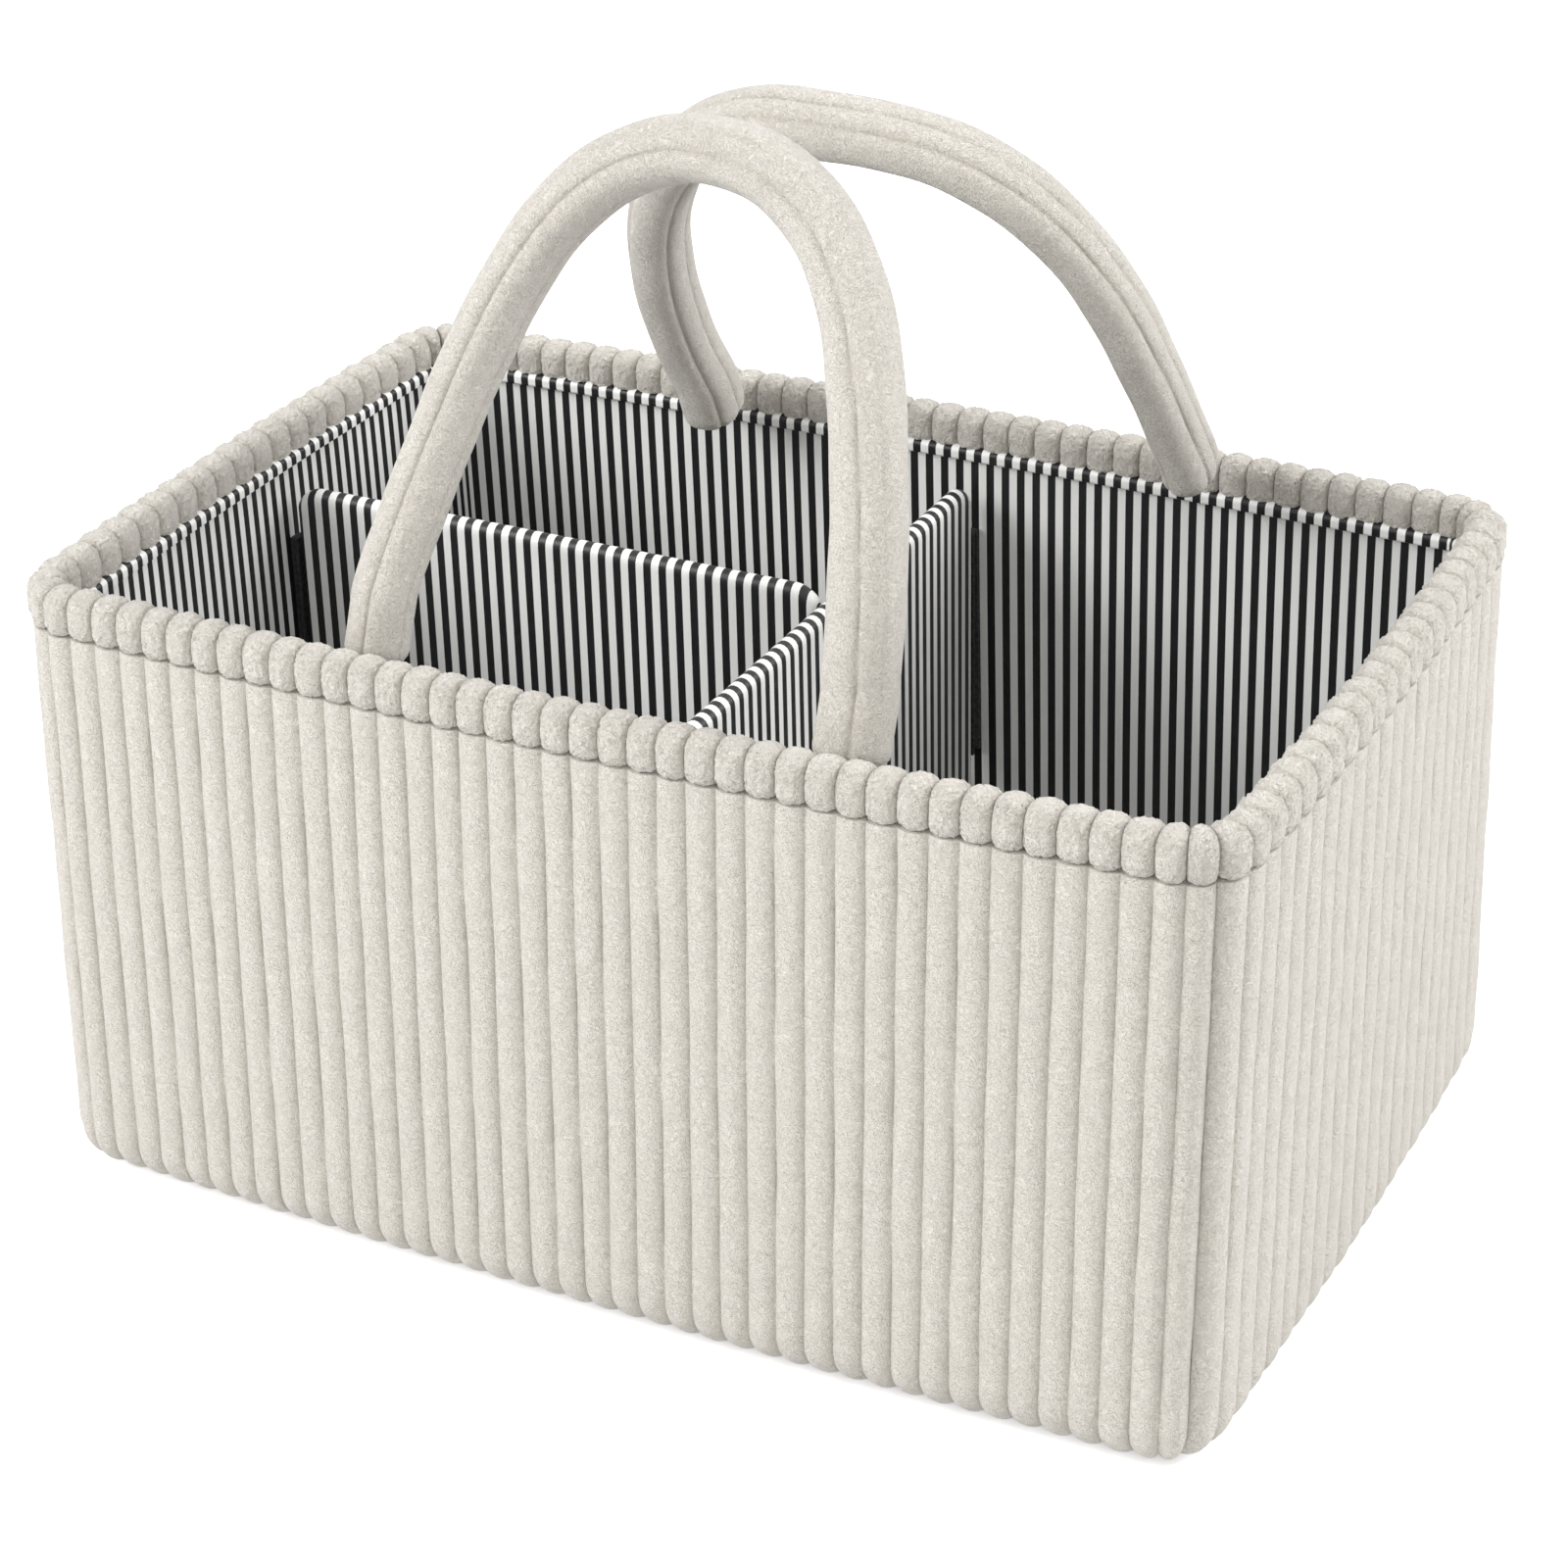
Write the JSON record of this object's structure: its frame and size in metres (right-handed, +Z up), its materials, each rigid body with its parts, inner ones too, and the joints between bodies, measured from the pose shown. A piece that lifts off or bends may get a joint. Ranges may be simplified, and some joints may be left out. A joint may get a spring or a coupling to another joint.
{
  "type": "diaper caddy",
  "caption": "Open-top padded caddy with ribbed plush walls, a rolled rim, a striped lining, lift-out padded dividers and padded carry handles.",
  "frame": {"origin": "on the floor under the middle of the tub", "axes": "+X along the length towards the large compartment, +Y towards the back wall, +Z up"},
  "size_m": [0.3876, 0.2532, 0.3373],
  "materials": {
    "plush": "matte short-pile cream plush over soft padding",
    "striped_cloth": "smooth woven cloth with narrow black and white stripes",
    "stiff_board": "plain grey-brown stiffening board",
    "touch_fastener": "matte black hook and loop tape",
    "stuffing": "soft white fibre stuffing"
  },
  "bodies": {
    "tub": {"outer_cover_front": "plush", "outer_cover_right": "plush", "outer_cover_back": "plush", "outer_cover_left": "plush", "rim_roll_front": "plush", "rim_roll_right": "plush", "rim_roll_back": "plush", "rim_roll_left": "plush", "wall_board_front": "stiff_board", "wall_board_right": "stiff_board", "wall_board_back": "stiff_board", "wall_board_left": "stiff_board", "lining_front": "striped_cloth", "lining_right": "striped_cloth", "lining_back": "striped_cloth", "lining_left": "striped_cloth", "facing_front": "striped_cloth", "facing_right": "striped_cloth", "facing_back": "striped_cloth", "facing_left": "striped_cloth", "under_cover": "plush", "base_board": "stiff_board", "lining_floor": "striped_cloth", "loop_strip_front": "touch_fastener", "loop_strip_back": "touch_fastener", "loop_strip_left": "touch_fastener", "handle_front_end_left": "plush", "handle_front_end_right": "plush", "handle_back_end_left": "plush", "handle_back_end_right": "plush"},
    "front_handle": {"handle_front_sleeve": "plush", "handle_front_core": "stuffing"},
    "back_handle": {"handle_back_sleeve": "plush", "handle_back_core": "stuffing"},
    "cross_divider": {"cross_divider_cover": "striped_cloth", "cross_divider_core": "stiff_board", "cross_divider_hook_front": "touch_fastener", "cross_divider_hook_back": "touch_fastener", "cross_divider_loop_strip": "touch_fastener"},
    "long_divider": {"long_divider_cover": "striped_cloth", "long_divider_core": "stiff_board", "long_divider_hook_left": "touch_fastener", "long_divider_hook_right": "touch_fastener"}
  },
  "joints": [
    {"name": "front_handle_swing", "type": "hinge", "parent": "tub", "child": "front_handle", "pos_m": [-0.003, -0.08947, 0.203], "axis": [1, 0, 0], "range_deg": [-14, 112]},
    {"name": "back_handle_swing", "type": "hinge", "parent": "tub", "child": "back_handle", "pos_m": [0.012, 0.08825, 0.203], "axis": [-1, 0, 0], "range_deg": [-12, 114]},
    {"name": "cross_divider_lift", "type": "slide", "parent": "tub", "child": "cross_divider", "axis": [0, 0, 1], "range_m": [0, 0.12]},
    {"name": "long_divider_lift", "type": "slide", "parent": "tub", "child": "long_divider", "axis": [0, 0, 1], "range_m": [0, 0.105]}
  ]
}
